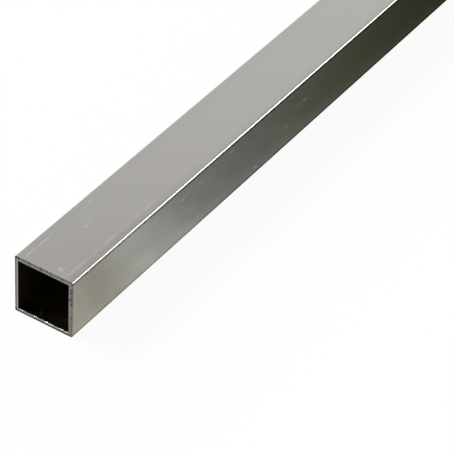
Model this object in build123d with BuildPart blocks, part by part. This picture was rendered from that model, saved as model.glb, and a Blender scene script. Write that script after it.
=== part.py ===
from build123d import *
import os

# A length of square aluminium tube, extruded with an even wall and sawn square at both ends.
# It lies along X on one of its flats. The origin is at the middle of its underside and +Z is up.
# All sizes are in millimetres.

# Section
side = 25.4                  # outside width and height
wall = 1.5875                # thickness of all four walls
outer_corner_radius = 0.4    # the nearly sharp corners that the die leaves outside
bore_corner_radius = 0.3     # the corners of the square bore

# Length and ends
length = 914.4               # from one sawn end to the other
saw_edge_break = 0.25        # the saw burr filed off round the outside of each end

# The bore leaves one wall on every side
bore = side - 2 * wall

# The sawn end at the low end of X: the section is drawn on it, about the middle of the tube
first_end = Plane(
    origin=(-length / 2, 0, side / 2),
    x_dir=(0, 1, 0),
    z_dir=(1, 0, 0),
)

os.makedirs("parts", exist_ok=True)

# The tube: a hollow square section, drawn out along its length, with the outer rim of each end eased
with BuildPart() as square_tube:
    with BuildSketch(first_end):
        RectangleRounded(side, side, outer_corner_radius)
        RectangleRounded(bore, bore, bore_corner_radius, mode=Mode.SUBTRACT)
    extrude(amount=length)

    sawn_ends = square_tube.faces().filter_by(Axis.X)
    outer_rims = [end.outer_wire().edges() for end in sawn_ends]
    chamfer(ShapeList(edge for rim in outer_rims for edge in rim), length=saw_edge_break)

square_tube.part.label = "square_tube"
export_step(square_tube.part, "parts/square_tube.step")
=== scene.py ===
# %% [markdown]
# # A length of square aluminium tube
# The tube is pressed hot through a steel die, cooled, stretched straight and sawn to length. Nobody
# polishes it: this is the plain mill finish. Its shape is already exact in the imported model, so these
# cells give it its surface: the satin skin with fine die lines, the handling marks, the bare sawn ends,
# the dull bore and the little lip of metal that the saw leaves on one rim of each end.
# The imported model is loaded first, because everything else takes its size and place from it.

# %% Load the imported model
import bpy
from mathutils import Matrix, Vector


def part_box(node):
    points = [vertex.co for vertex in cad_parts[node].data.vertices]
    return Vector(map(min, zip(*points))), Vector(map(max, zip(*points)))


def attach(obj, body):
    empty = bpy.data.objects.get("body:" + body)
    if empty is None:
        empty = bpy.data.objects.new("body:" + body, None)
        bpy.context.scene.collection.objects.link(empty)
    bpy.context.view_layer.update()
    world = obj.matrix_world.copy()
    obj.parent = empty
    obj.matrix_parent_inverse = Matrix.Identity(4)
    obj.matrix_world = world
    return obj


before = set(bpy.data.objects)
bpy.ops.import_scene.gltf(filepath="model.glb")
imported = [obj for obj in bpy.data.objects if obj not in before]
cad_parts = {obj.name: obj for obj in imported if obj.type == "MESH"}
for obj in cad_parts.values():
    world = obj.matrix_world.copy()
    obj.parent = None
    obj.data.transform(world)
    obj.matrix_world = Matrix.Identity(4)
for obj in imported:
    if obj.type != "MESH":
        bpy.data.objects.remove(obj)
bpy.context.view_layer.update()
print("nodes:", list(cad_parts))

# %% [markdown]
# ## The tube's sizes
# Blender works in metres, while the marks on a small part are easier to think of in millimetres, so one
# constant turns the one into the other. The middle of the tube's underside is at the origin and the
# tube lies along X, so half its length and half its side reach every face.

# %% Tools and sizes
import math

import bmesh
import bpy
from mathutils import Matrix, Vector, noise

MM = 0.001

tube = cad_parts["square_tube"]
low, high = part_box("square_tube")
half_side = (high[2] - low[2]) / 2
half_length = (high[0] - low[0]) / 2
wall = 1.5875 * MM
half_bore = half_side - wall
print(f"tube {2 * half_length / MM:.1f} mm long and {2 * half_side / MM:.2f} mm square")
print(f"bore {2 * half_bore / MM:.3f} mm square")

# %% [markdown]
# ## The camera
# A long lens from well back keeps the edges of the tube almost parallel. The camera looks down the
# tube from beyond its first sawn end, so that the end, the top and one side all show. Its place is
# written from the foot of that end, because the end is what it looks at. A camera looks along its own
# -Z, so at first it looks straight down. Read from the right, the matrices roll it about its own line of
# sight, tip it up, turn it about the upright and move it to its place.

# %% Camera
first_end = Vector((-half_length, 0, 0))
camera_from_end = Vector((-0.526108, -0.394917, 0.583036))
camera_turn = math.radians(-58.65)
camera_look_down = math.radians(39.148)
camera_roll = math.radians(3.599)
lens_mm = 193.94
sensor_mm = 36.0

camera_data = bpy.data.cameras.new("camera")
camera_data.lens = lens_mm
camera_data.sensor_width = sensor_mm
camera = bpy.data.objects.new("camera", camera_data)
camera.matrix_world = (
    Matrix.Translation(first_end + camera_from_end)
    @ Matrix.Rotation(camera_turn, 4, "Z")
    @ Matrix.Rotation(math.pi / 2 - camera_look_down, 4, "X")
    @ Matrix.Rotation(camera_roll, 4, "Z")
)
bpy.context.scene.collection.objects.link(camera)
bpy.context.scene.camera = camera
bpy.context.scene.view_settings.view_transform = "Standard"
print("camera at", [round(v, 3) for v in camera.location])

# %% [markdown]
# ## Shader maths as plain expressions
# A procedural finish is a sum of small patterns. Written as node calls it is hard to read, so a wire
# between two nodes is wrapped in a class whose arithmetic adds the Math nodes. `1 - mask` then means
# just that.

# %% Wires
class Wire:
    """One output of a node. Arithmetic on it adds Math nodes to the same tree."""

    def __init__(self, finish, socket):
        self.finish = finish
        self.socket = socket

    def out(self, name):
        return Wire(self.finish, self.socket.node.outputs[name])

    def maths(self, operation, *values):
        return self.finish.add("ShaderNodeMath", {"operation": operation}, dict(enumerate(values)))

    def __add__(self, other):
        return self.maths("ADD", self, other)

    def __sub__(self, other):
        return self.maths("SUBTRACT", self, other)

    def __rsub__(self, other):
        return self.maths("SUBTRACT", other, self)

    def __mul__(self, other):
        return self.maths("MULTIPLY", self, other)

    def __truediv__(self, other):
        return self.maths("DIVIDE", self, other)

    def __abs__(self):
        return self.maths("ABSOLUTE", self)

    __radd__ = __add__
    __rmul__ = __mul__


def largest(first, second):
    return first.maths("MAXIMUM", first, second)


def smallest(first, second):
    return first.maths("MINIMUM", first, second)


print("wires can be added, subtracted, multiplied and divided")

# %% [markdown]
# Every other node comes from one method, which sets the node's own settings first and its sockets
# after them, because some settings change which sockets there are. The methods below it are the few
# nodes that these finishes use again and again. The busiest is `rise`: a smooth step from 0 to 1. A
# product of steps marks out any place on the tube, with edges as soft as they have to be.

# %% Finishes
class Finish:
    """A node tree that is being wired up, for a material, a lamp or the world."""

    def __init__(self, owner):
        owner.use_nodes = True
        self.tree = owner.node_tree
        self.tree.nodes.clear()

    def add(self, kind, settings=None, inputs=None, output=0):
        node = self.tree.nodes.new(kind)
        for name, value in (settings or {}).items():
            setattr(node, name, value)
        for name, value in (inputs or {}).items():
            if isinstance(value, Wire):
                self.tree.links.new(value.socket, node.inputs[name])
            else:
                node.inputs[name].default_value = value
        return Wire(self, node.outputs[output]) if len(node.outputs) else node

    def rise(self, value, start, end):
        """0 up to start, 1 from end on, and smooth between. It falls instead where end is under start."""
        limits = {"Value": value, "From Min": start, "From Max": end}
        return self.add("ShaderNodeMapRange", {"interpolation_type": "SMOOTHSTEP"}, limits)

    def window(self, value, start, end, soft):
        """1 from start to end, and 0 past a soft edge on both sides."""
        return self.rise(value, start - soft, start) * self.rise(value, end + soft, end)

    def noise(self, place, scale, detail, roughness):
        """Smooth random bumps from 0 to 1. scale is how many there are to a metre along X, Y and Z."""
        stretched = self.add("ShaderNodeVectorMath", {"operation": "MULTIPLY"}, {0: place, 1: scale})
        sizes = {"Vector": stretched, "Scale": 1.0, "Detail": detail, "Roughness": roughness}
        return self.add("ShaderNodeTexNoise", {}, sizes)

    def mix(self, share, value_a, value_b):
        """value_a where share is 0, value_b where it is 1."""
        return self.add("ShaderNodeMix", {}, {0: share, 2: value_a, 3: value_b})

    def blend(self, share, colour_a, colour_b):
        """colour_a where share is 0, colour_b where it is 1."""
        slots = {0: share, 6: colour_a, 7: colour_b}
        return self.add("ShaderNodeMix", {"data_type": "RGBA"}, slots, output=2)

    def shade(self, colour, tone):
        """The colour made lighter or darker by a tone, where 1 leaves it as it is."""
        return self.add("ShaderNodeVectorMath", {"operation": "SCALE"}, {0: colour, 3: tone})


def opaque(colour):
    return (*colour, 1.0)


white, black = opaque((1, 1, 1)), opaque((0, 0, 0))
print("a colour socket takes four numbers, so white is", white)

# %% [markdown]
# ## What the eye sees and what the metal sees
# Bare metal has no tone of its own, it shows what stands around it. So the floor and the room need two
# looks: one for rays that come straight from the camera, and one for rays that come by way of metal.
# The Light Path node tells the two apart. A ray that has already left a matt surface counts as neither,
# or the metal would throw patches of light on the floor.

# %% Rays
def before_any_paint(path):
    """1 until a ray has left a matt surface, and 0 after that. The depth counts whole bounces."""
    half_a_bounce = 0.5
    return path.maths("LESS_THAN", path.out("Diffuse Depth"), half_a_bounce)


def eye_and_mirror(finish):
    """Two masks: rays that come straight from the camera, and rays that come by way of metal."""
    path = finish.add("ShaderNodeLightPath")
    eye = largest(path.out("Is Camera Ray"), path.out("Is Transmission Ray"))
    mirror = path.out("Is Glossy Ray") * before_any_paint(path)
    return eye, mirror


print("two looks: the eye's and the metal's")

# %% [markdown]
# ## Floor
# The eye sees white paper with a faint soft shadow round the tube. The metal sees the same white paper,
# and on it a dark card, close to the near side of the tube. A studio lays such a card beside polished
# stock, just out of view, or every side of it would shine as white as the paper. It could be a real
# sheet of card, but the camera would see that too, so it is painted on the floor for the metal alone.

# %% Places on the floor
floor_material = bpy.data.materials.new("pale_floor")
floor = Finish(floor_material)
place = floor.add("ShaderNodeTexCoord", output="Object")
axes = floor.add("ShaderNodeSeparateXYZ", {}, {0: place})
x, y = axes.out("X"), axes.out("Y")

from_tube = largest(abs(y) - half_side, abs(x) - half_length) / MM
in_front = (-half_side - y) / MM
from_first_end = (x + half_length) / MM

shadow_reach, shadow_core = 90, 27
shadow = floor.rise(from_tube, shadow_reach, shadow_core)

card_width, card_width_fade = 60, 50
card_length, card_length_fade = 300, 140
on_card = floor.rise(in_front, card_width + card_width_fade, card_width)
on_card = on_card * floor.rise(in_front, -half_side / MM, 0)
on_card = on_card * floor.rise(from_first_end, card_length + card_length_fade, card_length)
print(f"shadow reaches {shadow_reach} mm, card {card_width} by {card_length} mm")

# %% [markdown]
# The card isn't one even tone. Its tone is painted light: full on its first stretch, as if light from the
# open end of the studio reached it, falling off along it, with painted shade on a fold here and there, and
# that is what gives the side of the tube its long fade from pale to dark. The fade runs at a slant, as
# light from beyond the tube's end would fall. The card has painted shade of creases as well: the noise of a
# crease is about a half on average, so half of its depth is taken off the tone first.

# %% Painted light along the card
# The card's tone is painted light, with painted shade on folds and creases.
card_slant = 0.5
along = from_first_end - card_slant * in_front

bright_to, falloff = 52, 98
past_bright = largest(along - bright_to, 0.0)
card_painted_light = past_bright.maths("EXPONENT", past_bright * (-1 / falloff))

first_drop, first_drop_to = 0.22, 105
card_painted_light = card_painted_light * (1 - first_drop * floor.rise(along, bright_to, first_drop_to))

broad_fold_at, cross_fold_slant = 26, 0.43
fold_shades = [
    (0.16, floor.rise(abs(along - broad_fold_at), 16, 2)),
    (0.04, floor.rise(along, 18, 8)),
    (0.07, floor.rise(from_first_end + cross_fold_slant * in_front, 74, 84)),
]
for fold_shade_depth, fold in fold_shades:
    card_painted_light = card_painted_light * (1 - fold_shade_depth * fold)

crease_shades = [
    (0.32, floor.noise(place, (28, 60, 1), 2, 0.6)),
    (0.26, floor.noise(place, (90, 190, 1), 2, 0.5)),
]
for crease_shade_depth, crease in crease_shades:
    card_painted_light = card_painted_light * (1 - crease_shade_depth / 2 + crease_shade_depth * crease)
print(f"card full bright to {bright_to} mm, then down to about a third every {falloff} mm")

# %% [markdown]
# A strip of the card right beside the tube has painted light, as if the tube's own bright side lit it, and
# far along the card its outer part is painted a little lighter too. In the last tenths of a millimetre it
# has a painted contact shadow, nearly black, where tube and floor touch and no light gets in.

# %% Strips of the card, and its colour
card_level = 1.02
strip_lift, strip_lift_far = 0.04, 0.20
outer_lift = 0.12
contact_shadow_depth = 0.85

# Painted light beside the tube and far along the card, and a painted contact shadow where the tube touches.
strip_light = strip_lift + strip_lift_far * floor.rise(along, 50, 100)
beside_tube = floor.rise(in_front, 5, 1.5) * strip_light
outer_part = floor.rise(in_front, 11, 16) * floor.rise(along, 120, 190)
end_margin = 1 * MM
along_tube = floor.rise(abs(x), half_length + end_margin, half_length)
contact_shadow = floor.rise(abs(in_front), 0.5, 0.1) * along_tube
card_painted_light = card_painted_light * (card_level + beside_tube + outer_lift * outer_part)
card_painted_light = card_painted_light * (1 - contact_shadow_depth * contact_shadow)

card_warm = opaque((0.56, 0.53, 0.465))
card_neutral = opaque((0.54, 0.55, 0.52))
card_brown = opaque((0.53, 0.52, 0.36))
card_colour = floor.blend(floor.rise(along, 18, 48), card_warm, card_neutral)
card_colour = floor.blend(floor.rise(along, 100, 225), card_colour, card_brown)
print("card colour goes from", card_warm[:3], "to", card_brown[:3])

# %% [markdown]
# Two Mix Shader nodes put the looks together. The first gives the eye glowing white paper. Round the tube
# a small share of it is plain matt paper instead, on which the lamps really do cast a shadow. The second
# gives rays that come by way of metal the painted card, and the paper round it. Both glow too, so no lamp
# changes what such a ray finds.

# %% The floor's two looks
floor_colour = opaque((0.90, 0.90, 0.895))
shadow_share = 0.05
mirrored_paper = opaque((0.74, 0.735, 0.725))

mirrored = floor.blend(on_card, mirrored_paper, floor.shade(card_colour, card_painted_light))
eye, mirror = eye_and_mirror(floor)
paper = floor.add("ShaderNodeBsdfDiffuse", {}, {"Color": floor_colour})
glow = floor.add("ShaderNodeEmission", {}, {"Color": white, "Strength": 1.0})
for_metal = floor.add("ShaderNodeEmission", {}, {"Color": mirrored, "Strength": 1.0})
seen = floor.add("ShaderNodeMixShader", {}, {0: eye * (1 - shadow_share * shadow), 1: paper, 2: glow})
surface = floor.add("ShaderNodeMixShader", {}, {0: mirror, 1: seen, 2: for_metal})
floor.add("ShaderNodeOutputMaterial", {}, {"Surface": surface})
print(len(floor.tree.nodes), "nodes in the floor")

# %% [markdown]
# The floor itself is one flat square, far larger than the tube, so that its rim is far off.

# %% Floor piece
floor_size = 6.0
shape = bmesh.new()
bmesh.ops.create_grid(shape, x_segments=1, y_segments=1, size=floor_size / 2)
floor_mesh = bpy.data.meshes.new("studio_floor")
shape.to_mesh(floor_mesh)
shape.free()
floor_mesh.materials.append(floor_material)
floor_piece = bpy.data.objects.new("studio_floor", floor_mesh)
bpy.context.scene.collection.objects.link(floor_piece)
print(f"floor {floor_size} m square")

# %% [markdown]
# ## Room
# The world is a white room. The camera sees it as white as the paper. The metal sees pale walls and a
# greyer ceiling, so the top of the tube has a tone too. A flat ceiling would need a mesh overhead. A
# blend by the height of the ray does the same, and it can't be caught in view. The paper gets only a
# faint fill from the room, because a lamp is what lights it.

# %% World
wall_colour = opaque((0.85, 0.845, 0.835))
ceiling_colour = opaque((0.46, 0.445, 0.42))
walls_up_to, ceiling_from = 0.585, 0.715
room_fill = 0.06

world = bpy.data.worlds.new("studio")
bpy.context.scene.world = world
room = Finish(world)
direction = room.add("ShaderNodeTexCoord", output="Generated")
height = room.add("ShaderNodeSeparateXYZ", {}, {0: direction}).out("Z")
ceiling = room.rise(height, walls_up_to, ceiling_from)
room_colour = room.blend(ceiling, wall_colour, ceiling_colour)
eye, mirror = eye_and_mirror(room)
seen_colour = room.blend(mirror, white, room_colour)
seen = room.add("ShaderNodeBackground", {}, {"Color": seen_colour, "Strength": 1.0})
fill = room.add("ShaderNodeBackground", {}, {"Color": white, "Strength": room_fill})
mixed = room.add("ShaderNodeMixShader", {}, {0: largest(eye, mirror), 1: fill, 2: seen})
room.add("ShaderNodeOutputWorld", {}, {"Surface": mixed})
ceiling_angle = math.degrees(math.asin(ceiling_from))
print(f"the ceiling starts {ceiling_angle:.0f} degrees up")

# %% [markdown]
# ## Lamps
# One large softbox lights the paper. How bright its face is follows from one wish: white paper under it
# has to come out white. The metal doesn't mirror it, because its face would be a burnt-out patch on the
# top of the tube from many sides. Instead the metal gets softboxes of its own, which no paper sees: one
# that draws the bright line along the near corner, and one for the torn lips at the sawn ends.

# %% Softboxes
lamp_aim_along = 0.13


def softbox(name, turn_deg, height_deg, distance, width, tall, radiance):
    """A flat lamp that faces the tube near its first end. Its face is radiance times as bright as white."""
    turn, lift = math.radians(turn_deg), math.radians(height_deg)
    level = math.cos(lift)
    toward = Vector((level * math.cos(turn), level * math.sin(turn), math.sin(lift)))
    data = bpy.data.lights.new(name, "AREA")
    data.shape = "RECTANGLE"
    data.size = width
    data.size_y = tall
    data.energy = radiance * math.pi * width * tall
    lamp = bpy.data.objects.new(name, data)
    aim = first_end + Vector((lamp_aim_along, 0, 0))
    facing = toward.to_track_quat("Z", "Y").to_matrix().to_4x4()
    lamp.matrix_world = Matrix.Translation(aim + toward * distance) @ facing
    lamp.visible_camera = False
    bpy.context.scene.collection.objects.link(lamp)
    print(f"{name}: {data.energy:.1f} W, radiance {radiance:.2f}")
    return lamp


def metal_softbox(name, **place_and_size):
    """A softbox that only bare metal shows. It lights no paper, and metal throws none of it on to paper."""
    lamp = softbox(name, **place_and_size)
    lamp.visible_diffuse = False
    face = Finish(lamp.data)
    lit = face.blend(before_any_paint(face.add("ShaderNodeLightPath")), black, white)
    emission = face.add("ShaderNodeEmission", {}, {"Color": lit, "Strength": 1.0})
    face.add("ShaderNodeOutputLight", {}, {"Surface": emission})
    return lamp


key_turn, key_height, key_distance, key_width, key_tall = 100, 45, 1.6, 0.8, 0.5
white_paper = math.pi * key_distance**2 / (key_width * key_tall * math.sin(math.radians(key_height)))
key = softbox("key_softbox", key_turn, key_height, key_distance, key_width, key_tall, white_paper)
key.visible_glossy = False
metal_softbox(
    "corner_softbox",
    turn_deg=-31,
    height_deg=38,
    distance=3.0,
    width=1.5,
    tall=0.9,
    radiance=6.5,
)
lip_lamp = metal_softbox(
    "lip_softbox",
    turn_deg=102,
    height_deg=48,
    distance=1.6,
    width=0.6,
    tall=0.45,
    radiance=26.0,
)

# %% [markdown]
# ## The skin
# Aluminium that leaves the die has a satin skin, drawn into fine lines along the length where the edge
# of the die scrapes it. The tube then slides over rollers and other stock, which leaves rubbed streaks.
# An image could hold all that. Noise stretched along X costs nothing, never repeats and stays sharp.
# All of it needs to know where on the tube it is, so the first nodes measure distances: from the ends,
# from each outer face, from the long corners and from the bore. They are in millimetres.

# %% Distances on the tube
skin_material = bpy.data.materials.new("mill_aluminium")
skin = Finish(skin_material)
place = skin.add("ShaderNodeTexCoord", output="Object")
axes = skin.add("ShaderNodeSeparateXYZ", {}, {0: place})
x, y, z = axes.out("X"), axes.out("Y"), axes.out("Z") - half_side

across = largest(abs(y), abs(z))
from_end = (half_length - abs(x)) / MM
from_first_end = (x + half_length) / MM
from_top = (half_side - z) / MM
from_bottom = (z + half_side) / MM
from_front = (y + half_side) / MM
from_back = (half_side - y) / MM
from_outside = (half_side - across) / MM
from_corner = (half_side - smallest(abs(y), abs(z))) / MM
from_bore = (across - half_bore) / MM
from_bore_floor = abs(z + half_bore) / MM
print("distances are measured from the ends, the faces, the corners and the bore")

# %% Places on the tube
flat_depth = (0.3, 0.1)
is_end = skin.rise(from_end, 0.08, 0.02)
is_bevel = skin.rise(from_outside, 0.32, 0.26) * skin.rise(from_end, 0.46, 0.38)
is_cut = largest(is_end, is_bevel)
is_bore = skin.rise(from_bore, 0.4, 0.1)
on_top = skin.rise(from_top, *flat_depth)
on_front = skin.rise(from_front, *flat_depth)
on_bore_floor = skin.rise(from_bore_floor, 0.2, 0.1)
on_corner = skin.rise(from_corner, 0.5, 0.3)
print("places: end, bevel, bore, top, front, bore floor and corner")

# %% [markdown]
# Four noises make up the skin. The lines and the finer hairs are hundreds of times longer than they are
# wide, as a die draws them. The cloud is the slow change of tone from one thumb's breadth to the next, and
# the speck breaks up the painted shade along the corners and the rough band beside them. The grit belongs
# to the sawn ends.

# %% Grain
lines_per_metre, hairs_per_metre, grit_per_metre = 2600, 9000, 1500
lines = skin.noise(place, (3, lines_per_metre, lines_per_metre), 3, 0.6)
hairs = skin.noise(place, (30, hairs_per_metre, hairs_per_metre), 2, 0.5)
cloud = skin.noise(place, (30, 90, 90), 3, 0.55)
speck = skin.noise(place, (500, 1500, 1500), 3, 0.65)
grit = skin.noise(place, (grit_per_metre, grit_per_metre, grit_per_metre), 4, 0.7)
line_gap, grit_gap = 1000 / lines_per_metre, 1000 / grit_per_metre
print(f"die lines about {line_gap:.2f} mm apart, grit about {grit_gap:.2f} mm")

# %% [markdown]
# ## Rub marks
# A streak where something slid along the tube is rougher and a little lighter than the skin. It scatters
# the light of the whole studio, so it shows pale on a side that mirrors something dark. A stain does the
# opposite. Each mark is listed one by one: scattered ones would be as even as wallpaper, and real ones
# aren't.
# A row gives the start and end from the first sawn end, the place across the flat from its middle, half
# the width, how far the mark climbs from start to end (all in millimetres) and its strength.

# %% Marks, listed one by one
top_rubs = [
    (0.5, 10.0, 9.3, 0.32, 0.0, 0.60),
    (8.0, 17.6, 9.3, 0.34, 0.1, 0.85),
    (17.0, 18.4, 9.6, 0.36, 0.9, 0.80),
    (34.2, 36.8, 9.2, 0.32, 0.2, 0.62),
    (39.2, 42.4, 9.45, 0.32, 0.1, 0.75),
    (44.4, 47.4, 9.2, 0.28, 0.4, 0.48),
    (54.0, 57.2, 9.3, 0.28, 0.1, 0.52),
    (2.8, 5.1, -4.3, 0.70, 0.5, 0.56),
    (3.3, 4.4, -5.1, 0.85, -0.3, 0.76),
    (2.0, 6.2, -4.8, 1.50, -0.8, 0.21),
    (2.7, 3.6, -7.1, 1.60, 0.9, 0.20),
    (28.2, 29.3, 2.3, 0.85, -0.7, 0.50),
    (30.3, 31.5, 2.7, 0.55, 0.9, 0.54),
    (26.0, 27.2, -5.9, 0.65, 0.0, 0.15),
    (0.5, 15.0, -8.8, 0.95, 0.0, 0.27),
    (16.0, 22.8, -8.8, 0.9, 0.0, 0.15),
    (23.6, 32.4, -8.9, 0.9, 0.2, 0.34),
    (43.2, 45.4, -8.8, 0.9, 0.0, 0.28),
    (47.3, 55.2, -8.9, 0.8, 0.2, 0.25),
    (33.0, 43.0, -8.8, 1.2, 0.0, 0.10),
]
front_rubs = [
    (-0.5, 1.8, -3.5, 0.30, -0.9, 0.90),
    (-0.5, 1.6, -4.6, 0.18, -0.9, 0.30),
    (36.5, 42.5, -5.6, 1.20, 0.0, 0.62),
    (33.0, 58.0, -5.3, 3.60, -1.5, 0.28),
    (66.6, 71.0, 6.6, 0.40, 0.3, 1.00),
    (70.2, 75.4, 6.7, 0.32, 0.2, 0.62),
    (71.6, 77.2, 9.1, 0.40, -0.5, 0.55),
    (77.8, 83.0, 6.7, 0.34, 0.4, 0.82),
    (84.8, 86.8, 6.8, 0.38, -0.6, 0.84),
    (92.9, 96.6, 8.9, 0.36, -1.0, 0.55),
    (98.0, 104.4, 9.1, 0.36, 0.1, 0.78),
    (112.5, 118.0, 6.6, 0.30, 0.2, 0.58),
    (119.0, 124.6, 6.6, 0.30, -0.3, 0.60),
    (125.0, 129.6, 10.4, 0.38, -0.7, 0.80),
    (140.8, 147.0, 9.3, 0.40, 0.3, 0.54),
    (147.2, 152.4, 2.6, 0.36, 0.0, 0.85),
    (151.6, 156.9, 2.7, 0.44, -0.4, 1.00),
    (139.2, 142.2, -2.3, 0.62, -1.3, 0.86),
    (71.5, 78.5, -2.3, 1.00, 0.0, 0.50),
    (117.6, 121.4, -9.6, 0.90, -0.8, 0.84),
    (84.0, 88.6, -9.9, 0.30, -0.3, 0.40),
    (108.0, 112.6, -10.2, 0.30, 0.2, 0.50),
]
front_stains = [
    (66.6, 75.2, 5.2, 0.45, 0.1, 0.95),
    (92.8, 97.0, 7.7, 0.54, -0.8, 1.00),
    (112.5, 119.0, 7.5, 0.50, -0.3, 0.70),
    (140.6, 147.4, 8.1, 0.55, -0.8, 0.75),
    (161.5, 165.6, 7.2, 0.40, -0.5, 0.55),
    (154.6, 157.2, 1.7, 0.44, -0.8, 1.00),
]
print(len(top_rubs), "rubs on top,", len(front_rubs), "rubs and", len(front_stains), "stains in front")

# %% [markdown]
# A mark is a long thin ellipse: along it and across it are each scaled to 1 at the rim, and the two
# squares added stay under 1 inside. The places are shaken by noise first, so no rim is a clean curve,
# and a second noise tears holes in it. Where two marks cross, the stronger one shows.

# %% Marks drawn
torn_least = 0.35
shake_along, shake_across = 1.6, 1.1

shake = skin.noise(place, (420, 600, 600), 3, 0.6) - 0.5
torn = skin.noise(place, (900, 3000, 3000), 2, 0.6)
torn_share = torn_least + (1 - torn_least) * skin.rise(torn, 0.35, 0.6)
shaken_along = from_first_end + shake_along * shake
shaken_y = y / MM + shake_across * shake
shaken_z = z / MM + shake_across * shake


def mark(place_across, start, end, level, half_width, climb, strength):
    """A long thin ellipse with a blurred rim, on a flat whose places across are given."""
    half_long = (end - start) / 2
    past_middle = shaken_along - (start + half_long)
    off_line = place_across - level - past_middle * (climb / (2 * half_long))
    along_part = past_middle / half_long
    across_part = off_line / half_width
    rim, core = 1.0, 0.15
    return skin.rise(along_part * along_part + across_part * across_part, rim, core) * strength


def marks(on_flat, place_across, rows):
    """All the marks of one flat together."""
    strongest = mark(place_across, *rows[0])
    for row in rows[1:]:
        strongest = largest(strongest, mark(place_across, *row))
    return strongest * on_flat * torn_share


rubbed_top = marks(on_top, shaken_y, top_rubs)
rubbed = largest(rubbed_top, marks(on_front, shaken_z, front_rubs))
stained = marks(on_front, shaken_z, front_stains)
print(len(skin.tree.nodes), "nodes in the skin so far")

# %% [markdown]
# ## The edges of the skin
# Along each long corner lies a thin, speckled darker band of painted shade. Beside it a band is a little
# rougher, and the top has painted shade towards the near side, most at the first end. The rounded corner
# itself is painted brighter, a painted highlight that strengthens the bright line along it. At the sawn
# ends the file that took the burr off has polished a narrow ring into the top and the near side, and on the
# near side it has dulled the strip between that ring and the end.

# %% Painted shade along the corners
# A thin band of painted shade along each long corner, weaker on the back and the underside.
top_edge_shade, top_edge_shade_gain = 0.30, 0.40
grown = skin.rise(from_first_end, 5, 110)
edge_shade_on_top = skin.rise(from_front, 0.3, 0.65) * skin.rise(from_front, 1.7, 0.7)
edge_shade_on_top = edge_shade_on_top * on_top * (top_edge_shade + top_edge_shade_gain * grown)

lower_edge_shade, lower_edge_shade_gain = 0.8, 0.8
upper_extra, upper_extra_loss = 1.3, 0.6
other_sides_share = 0.35
middle = half_side / MM
far_along = skin.rise(from_first_end, 40, 140)
upper_half = skin.rise(from_bottom, middle, middle + 5)
edge_shade_strength = lower_edge_shade + lower_edge_shade_gain * far_along
edge_shade_strength = edge_shade_strength + (upper_extra - upper_extra_loss * far_along) * upper_half
edge_shade_elsewhere = skin.window(from_corner, 0.75, 1.25, 0.3) * (1 - on_top) * edge_shade_strength
edge_shade_elsewhere = edge_shade_elsewhere * (other_sides_share + (1 - other_sides_share) * on_front)

speck_least, speck_gain = 0.4, 1.1
speckled = speck_least + speck_gain * skin.rise(speck, 0.3, 0.7)
edge_shade = largest(edge_shade_on_top, edge_shade_elsewhere) * speckled
print(f"film on every long corner, at {100 * other_sides_share:.0f}% on the back and the underside")

# %% Strips beside the corners, and filed rings
rough_band = skin.window(from_corner, 1.6, 3.4, 0.7) * skin.rise(speck, 0.3, 0.65)
# Painted shade on the top towards the near side, most at the first end.
top_near_side_shade = skin.rise(from_front, 3.3, 2.3) * skin.rise(from_first_end, 100, 30) * on_top

filed_front = skin.window(from_end, 1.45, 1.75, 0.3) * on_front
filed_bright = filed_front + skin.window(from_end, 0.70, 1.00, 0.35) * on_top
filed_dull = skin.rise(from_end, 1.1, 0.6) * on_front
print("filed rings at both ends")

# %% [markdown]
# The tone of the outside is then one product. Cloud and lines vary it a little, the painted shade along the
# corners and the stains take some away, and what is rubbed or filed gives some back, as does the painted
# highlight on the rounded corner.

# %% Tone of the outside
skin_colour = (0.56, 0.55, 0.525)
plain_tone, cloud_tone, line_tone = 0.94, 0.08, 0.04
edge_shade_dark, top_near_side_shade_depth = 0.30, 0.08
rub_light, top_rub_light, filed_light, corner_highlight = 0.35, 0.35, 0.07, 0.45
stain_dark, filed_dark = 0.4, 0.16

tone = plain_tone + cloud_tone * cloud + line_tone * lines
tone = tone * (1 - edge_shade_dark * edge_shade - top_near_side_shade_depth * top_near_side_shade)
lighter = rub_light * rubbed + top_rub_light * rubbed_top
# The rounded corner is painted brighter, as a painted highlight.
lighter = lighter + filed_light * filed_bright + corner_highlight * on_corner
tone = tone * (1 + lighter) * (1 - stain_dark * stained) * (1 - filed_dark * filed_dull)
outside = skin.shade(skin_colour, tone)
print("bare aluminium", skin_colour)

# %% [markdown]
# ## The bore
# Nothing ever rubs the inside bright. Its dark grey-brown colour is partly the dull film of the hot die and
# partly painted shade, because so little light gets in that the mouth looks black. It has a colour of its
# own, with part of the shine taken away. A few centimetres in it is painted lighter, and its floor has
# painted light, except just inside the mouth, where it has painted shade. One short lighter streak crosses
# its floor near the mouth.

# %% Bore
bore_colour = (0.125, 0.10, 0.05)
bore_metallic = 0.85
bore_streak = (1.2, 5.6, 3.3, 0.6, 2.9, 1.0)
deep_light, floor_light, mouth_shade, streak_light = 1.8, 0.9, 1.5, 2.4

# Painted light deeper in and on the bore floor, and painted shade on the floor just inside the mouth.
deeper_in = skin.rise(from_end, 4, 45)
mouth_floor = on_bore_floor * skin.rise(from_end, 7, 2)
floor_tone = 1 + floor_light * on_bore_floor - mouth_shade * mouth_floor
bore_tone = (1 + deep_light * deeper_in) * floor_tone
bore_tone = bore_tone + streak_light * on_bore_floor * mark(y / MM, *bore_streak)
without_cut = skin.blend(is_bore, outside, skin.shade(bore_colour, bore_tone))
print("bore", bore_colour, "and", bore_metallic, "metal")

# %% [markdown]
# ## The sawn ends
# A saw leaves a grey, gritty face, and its outer half is darker in a gritty band, most at the bottom. Fine
# saw lines could be cut into the mesh, but they are a few hundredths of a millimetre deep: tone and a
# little bump show them just as well.

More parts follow.
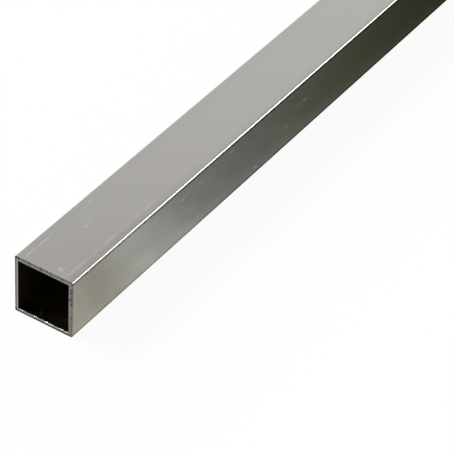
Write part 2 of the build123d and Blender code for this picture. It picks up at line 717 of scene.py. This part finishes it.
# %% The walls of the cut, and their darker outer band
wall_edge = wall / MM
in_wall = (wall_edge + 0.16, wall_edge - 0.09)
top_wall = skin.rise(from_top, *in_wall)
bottom_wall = skin.rise(from_bottom, *in_wall)
back_wall = skin.rise(from_back, *in_wall)

front_darkening, top_darkening_more, bottom_darkening_more, back_darkening_more = 0.14, 0.26, 0.80, 0.44
most_darkening = 0.95
bevel_dark = 0.05
bottom_darkened = bottom_wall * skin.rise(from_front, 0.5, 1.4)
outer_darkening = front_darkening + top_darkening_more * top_wall + bottom_darkening_more * bottom_darkened
outer_darkening = smallest(outer_darkening + back_darkening_more * back_wall, most_darkening)

bottom_more = 0.2 * bottom_wall
dark_band = skin.rise(from_outside, 1.15 + bottom_more, 0.5)
dark_grit = skin.rise(grit + bottom_more, 0.30, 0.58)
cut_tone = 1 - outer_darkening * dark_band * dark_grit - bevel_dark * is_bevel
print(f"walls of the cut {wall_edge:.4f} mm thick")

# %% [markdown]
# The blade smears the inner rim bright along the back and the top wall. Along the bottom wall it draws the
# rim out into a burr, more so towards the side where it leaves, and the burr is painted brighter: partly
# its fresh metal, partly its glint painted in. The last tenths of a millimetre before the bore have painted
# shade, where the metal turns in, on every wall but the bottom one.

# %% Inner rim of the cut
back_smear, top_smear = 0.56, 0.18
smeared = skin.rise(from_bore, 0.75, 0.4) * (back_smear * back_wall + top_smear * top_wall)

# The burr on the bottom wall is painted brighter: partly fresh metal, partly painted glint.
burr_glint_least, burr_glint_gain = 0.25, 0.60
blade_leaves = skin.rise(y * x.maths("SIGN", x) / MM, -0.1, 1.0)
burr_and_glint = bottom_wall * (burr_glint_least + burr_glint_gain * blade_leaves) * skin.rise(from_bore, 0.52, 0.2)

# Painted shade on the inner rim of the cut.
rim_width, top_rim_wider = 0.24, 0.10
rim_shade_depth, top_rim_shade_more = 0.80, 0.10
inner_rim_shade = skin.rise(from_bore, rim_width + top_rim_wider * top_wall, 0.10)
inner_rim_shade = inner_rim_shade * (rim_shade_depth + top_rim_shade_more * top_wall)
inner_rim_shade = inner_rim_shade * skin.rise(from_bottom, wall_edge + 0.1, wall_edge + 0.4)
cut_tone = cut_tone * (1 + smeared + burr_and_glint) * (1 - inner_rim_shade)
print(f"dark inner rim {rim_width} mm wide")

# %% [markdown]
# The saw's teeth also leave nicks, small hollows that start at the outer rim, drawn as painted shade. A row
# says where a nick starts and stops along its wall and how far in it reaches, in millimetres. The front
# wall counts from the bottom of the tube and the top wall from its middle. The grit breaks the nicks up.

# %% Nicks, and the colour of the cut
front_nicks = [
    (20.3, 22.3, 1.05),
    (18.6, 19.2, 0.7),
    (17.0, 17.9, 1.35),
    (14.8, 16.2, 0.65),
    (8.6, 9.4, 1.0),
]
top_nicks = [
    (10.5, 11.3, 0.8),
    (7.8, 8.5, 0.7),
    (5.5, 6.6, 0.9),
    (0.8, 1.5, 1.2),
    (-1.9, -1.5, 0.7),
    (-3.8, -2.9, 0.95),
    (-8.8, -8.1, 0.8),
]
front_nick_shade, top_nick_shade = 0.70, 0.50
nick_soft_end, nick_soft_tip = 0.3, 0.15


def nicks(along_wall, from_rim, rows):
    """The painted shade of all the nicks in one wall together, broken up by the grit."""
    hollows = 0.0
    for start, stop, reach in rows:
        near_rim = skin.rise(from_rim, reach + nick_soft_tip, reach - nick_soft_tip)
        hollows = hollows + skin.window(along_wall, start, stop, nick_soft_end) * near_rim
    return hollows * skin.rise(grit, 0.42, 0.52)


cut_colour = (0.36, 0.356, 0.34)
grit_tone_least, grit_tone_gain = 0.80, 0.40
# The nicks darken the cut as painted shade.
cut_tone = cut_tone * (1 - front_nick_shade * nicks(from_bottom, from_front, front_nicks))
cut_tone = cut_tone * (1 - top_nick_shade * nicks(y / MM, from_top, top_nicks))
cut_tone = cut_tone * (grit_tone_least + grit_tone_gain * grit)
whole = skin.blend(is_cut, without_cut, skin.shade(cut_colour, cut_tone))
print(len(front_nicks), "nicks in the front wall of the cut and", len(top_nicks), "in the top wall")

# %% [markdown]
# ## One metal for the whole tube
# The tube is one solid, so one material carries the skin, the bore and the cut, and the masks choose
# between them. A rub mark is mostly roughness. The die lines are bump, only two thousandths of a
# millimetre deep: more would turn a drawn surface into a ploughed one.

# %% Skin shader
satin_rough, cloud_rough, band_rough = 0.19, 0.06, 0.04
rub_rough, filed_rough = 0.40, 0.05
bore_rough, cut_rough = 0.32, 0.46
skin_rough = satin_rough + cloud_rough * cloud + band_rough * rough_band
skin_rough = skin_rough + rub_rough * rubbed + filed_rough * filed_bright
rough = skin.mix(is_cut, skin.mix(is_bore, skin_rough, bore_rough), cut_rough)

line_depth = 2.0e-6
hair_share, grit_share, rub_share = 0.4, 0.5, 0.6
relief = lines + hair_share * hairs + grit_share * grit * is_cut + rub_share * rubbed * torn
bump = skin.add("ShaderNodeBump", {}, {"Strength": 1.0, "Distance": line_depth, "Height": relief})

metallic = skin.mix(is_bore * (1 - is_cut), 1.0, bore_metallic)
metal_values = {"Base Color": whole, "Metallic": metallic, "Roughness": rough, "Normal": bump}
metal = skin.add("ShaderNodeBsdfPrincipled", {}, metal_values)
skin.add("ShaderNodeOutputMaterial", {}, {"Surface": metal})
for slot in tube.material_slots:
    slot.material = skin_material
print(len(skin.tree.nodes), "nodes in the skin")

# %% [markdown]
# ## The saw's lip
# A saw pushes a ragged fin of metal out of the last wall that it leaves. Outside it is filed off, but
# on the lower rim of the bore it stays, bright and torn. Noise on a normal map can't give it an outline,
# so it is a real mesh. Its metal is freshly torn, so it is cleaner than the skin and has a grain.

# %% Torn metal
torn_dark, torn_bright = opaque((0.58, 0.57, 0.55)), opaque((0.88, 0.87, 0.85))
torn_rough, torn_rough_gain = 0.18, 0.16
grain_depth = 8.0e-6

torn_material = bpy.data.materials.new("torn_aluminium")
torn_metal = Finish(torn_material)
place = torn_metal.add("ShaderNodeTexCoord", output="Object")
grain = torn_metal.noise(place, (4000, 4000, 4000), 3, 0.7)
bump = torn_metal.add("ShaderNodeBump", {}, {"Strength": 1.0, "Distance": grain_depth, "Height": grain})
torn_values = {
    "Base Color": torn_metal.blend(grain, torn_dark, torn_bright),
    "Metallic": 1.0,
    "Roughness": torn_rough + torn_rough_gain * grain,
    "Normal": bump,
}
metal = torn_metal.add("ShaderNodeBsdfPrincipled", {}, torn_values)
torn_metal.add("ShaderNodeOutputMaterial", {}, {"Surface": metal})
print("torn metal from", torn_dark[:3], "to", torn_bright[:3])

# %% [markdown]
# The fin isn't even. It stands up in a few long tabs, each torn off steeply where the tooth came in and
# tapering to the other side, with little between them. A tab is where it starts and stops along the
# rim, in millimetres, and its height, where 1 is a plain tab. Noise then frets every tab. The far end
# gets the same tabs the other way round, because the same saw cut both, but each end reads a row of the
# noise of its own, so no two tabs are torn alike.

# %% How far the lip is pushed out
lip_tabs = [
    (-11.3, -9.5, 1.15),
    (-9.4, -5.8, 1.15),
    (-4.8, -2.3, 1.1),
    (-2.5, -0.4, 1.25),
    (2.2, 4.4, 1.25),
    (8.7, 9.9, 0.8),
    (10.1, 11.3, 0.6),
]
lip_between = 0.2
steep, taper = 6, 1.3
tear_width, tear_row = 0.9 * MM, 7.3
tear_level, tear_depth = 0.95, 0.35
tear_least, tear_most = 0.5, 1.15


def lip_size(y, end):
    """How far the metal is pushed out at one place along Y, where 1 is a plain tab."""
    size = lip_between
    for start, stop, tall in lip_tabs:
        share = (-end * y / MM - start) / (stop - start)
        if 0 < share < 1:
            size = max(size, tall * min(1.0, steep * share, taper * (1 - share)))
    fall_off, finer_by, layers = 0.8, 2.2, 4
    tears = noise.fractal(Vector((y / tear_width, tear_row * end, 0)), fall_off, finer_by, layers)
    return size * max(tear_least, min(tear_most, tear_level + tear_depth * tears))


print("lip at the middle of the rim:", round(lip_size(0.0, -1), 2), "of a plain tab")

# %% [markdown]
# A strip of faces would look like paper. So the lip starts as a round bar across the bore, cut into many
# rings. Each ring is then bent over: its root sits a little way inside the wall, its knee is straight
# above, and its tip leans into the bore. The two straight runs, blended by how far up the bar a point
# was, make a smooth curve. The bar gets thinner towards the tip.

# %% The shape of a lip
lip_rings = 240
lip_sides = 14
lip_thickness = 0.08 * MM
lip_stand = 0.07 * MM
lip_curl = 0.15 * MM
lip_sink = 0.05 * MM
lip_shortfall = 0.08 * MM
lip_tip_loss = 0.5
lip_lean_deg, lip_lean_varies_deg = 28, 20
droop_width, droop_row, droop_layer = 1.3 * MM, 5.0, 9.0


def lip_point(y, up, side_place, end):
    """A point on the bent bar: up is 0 at the root and 1 at the tip, side_place is -0.5 to 0.5 across."""
    size = lip_size(y, end)
    droop = noise.noise(Vector((y / droop_width, droop_row * end, droop_layer)))
    lean = math.radians(lip_lean_deg + lip_lean_varies_deg * droop)
    root = Vector((lip_thickness / 2, -lip_sink))
    knee = root + Vector((0, lip_sink + size * lip_stand))
    tip = knee + Vector((math.cos(lean), math.sin(lean))) * size * lip_curl
    middle = root.lerp(knee, up).lerp(knee.lerp(tip, up), up)
    heading = (knee - root).lerp(tip - knee, up).normalized()
    thick = lip_thickness * (1 - lip_tip_loss * up)
    inward, height = middle + Vector((heading.y, -heading.x)) * side_place * thick
    return (end * (half_length - max(inward, 0)), y, wall + height)


def saw_lip(name, end):
    """The lip of one sawn end. end is -1 for the first end and 1 for the other."""
    shape = bmesh.new()
    lie_along_y = Matrix.Rotation(math.pi / 2, 4, "X")
    bmesh.ops.create_cone(
        shape, cap_ends=True, segments=lip_sides, radius1=0.5, radius2=0.5, depth=1.0, matrix=lie_along_y
    )
    long_edges = [edge for edge in shape.edges if abs(edge.verts[0].co.y - edge.verts[1].co.y) > 0.5]
    bmesh.ops.subdivide_edges(shape, edges=long_edges, cuts=lip_rings)
    for vert in shape.verts:
        y = vert.co.y * 2 * (half_bore - lip_shortfall)
        vert.co = lip_point(y, vert.co.z + 0.5, vert.co.x, end)
    bmesh.ops.recalc_face_normals(shape, faces=shape.faces)
    for face in shape.faces:
        face.smooth = True
    mesh = bpy.data.meshes.new(name)
    shape.to_mesh(mesh)
    shape.free()
    mesh.materials.append(torn_material)
    lip = bpy.data.objects.new(name, mesh)
    bpy.context.scene.collection.objects.link(lip)
    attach(lip, "root")
    print(f"{name}: {len(mesh.polygons)} faces")
    return lip


print(f"a lip has {lip_rings} rings of {lip_sides} sides and is {lip_thickness / MM:.2f} mm thick")

# %% [markdown]
# Both ends get a lip. The lamp that makes them glint is linked to them alone. It has to be many times
# brighter than white, because a lip is as thin as a hair, and on the wide flats such a lamp would burn
# out.

# %% The two lips, and the lamp that they alone show
torn_edges = bpy.data.collections.new("torn_edges")
torn_edges.objects.link(saw_lip("saw_lip_first_end", -1))
torn_edges.objects.link(saw_lip("saw_lip_far_end", 1))
lip_lamp.light_linking.receiver_collection = torn_edges
